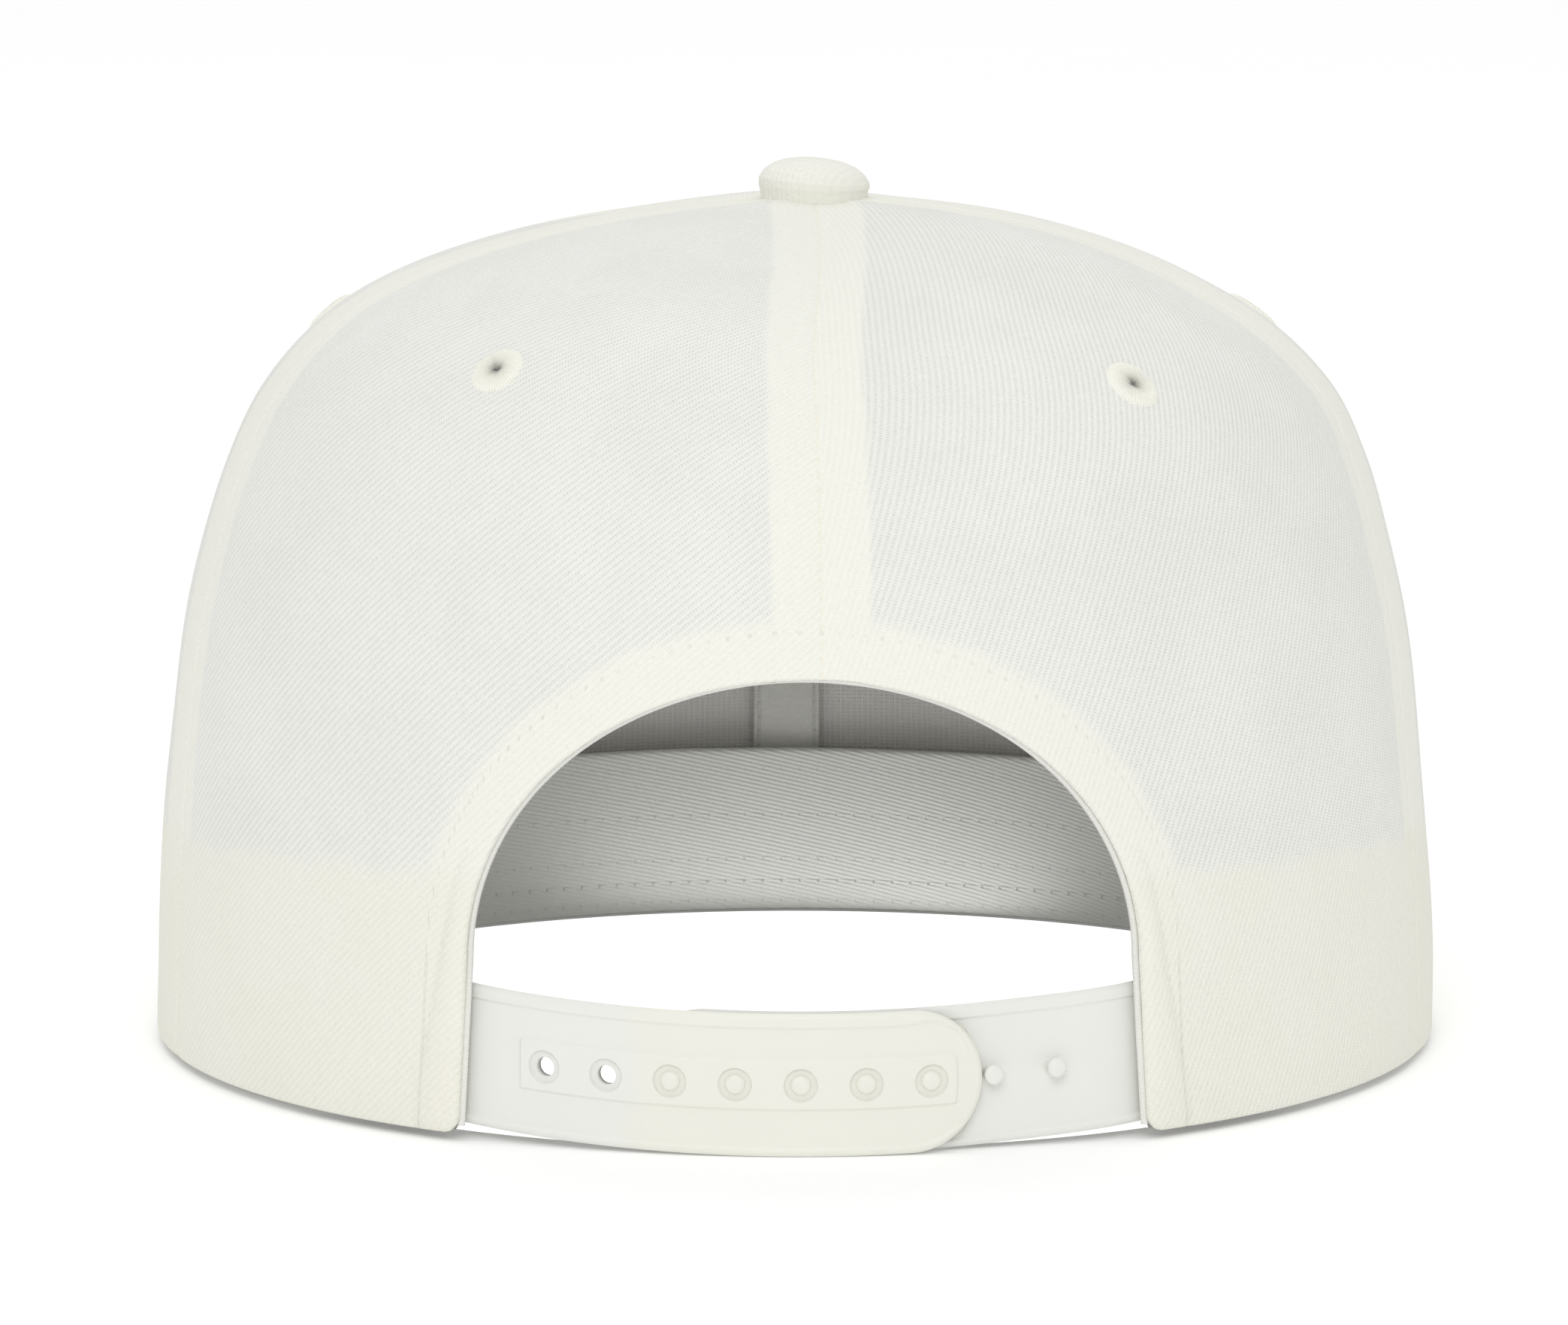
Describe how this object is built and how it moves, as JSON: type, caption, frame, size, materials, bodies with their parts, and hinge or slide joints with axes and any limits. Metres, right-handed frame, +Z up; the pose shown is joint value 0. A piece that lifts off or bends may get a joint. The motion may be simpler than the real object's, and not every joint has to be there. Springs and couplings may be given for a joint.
{
  "type": "snapback cap",
  "caption": "Six-panel cap with a high crown, flat peak, covered button, eyelets, rear arch opening and two-part snap strap.",
  "frame": {"origin": "on the resting plane, under the middle of the whole cap's bounding box", "axes": "+Z up; the peak points along -Y and the rear opening faces +Y; +X is the wearer's left"},
  "size_m": [0.1898, 0.2668, 0.1297],
  "materials": {
    "twill": "ivory cotton twill, matt",
    "thread": "ivory embroidery thread, slight sheen",
    "tape": "ivory woven seam tape, matt",
    "sweatband": "ivory cotton twill, matt",
    "stiffener": "off-white buckram mesh, matt",
    "strap": "ivory moulded plastic, satin"
  },
  "bodies": {
    "root": {"panel_rear_left": "twill", "panel_side_left": "twill", "panel_front_left": "twill", "panel_front_right": "twill", "panel_side_right": "twill", "panel_rear_right": "twill", "eyelet_rear_left": "thread", "eyelet_side_left": "thread", "eyelet_front_left": "thread", "eyelet_front_right": "thread", "eyelet_side_right": "thread", "eyelet_rear_right": "thread", "button": "twill", "tape_centre_back": "tape", "tape_left_rear": "tape", "tape_left_front": "tape", "tape_centre_front": "tape", "tape_right_front": "tape", "tape_right_rear": "tape", "stiffener_left": "stiffener", "stiffener_right": "stiffener", "arch_facing": "tape", "sweatband": "sweatband", "peak": "twill", "strap_outer": "strap", "strap_inner": "strap"}
  },
  "joints": []
}
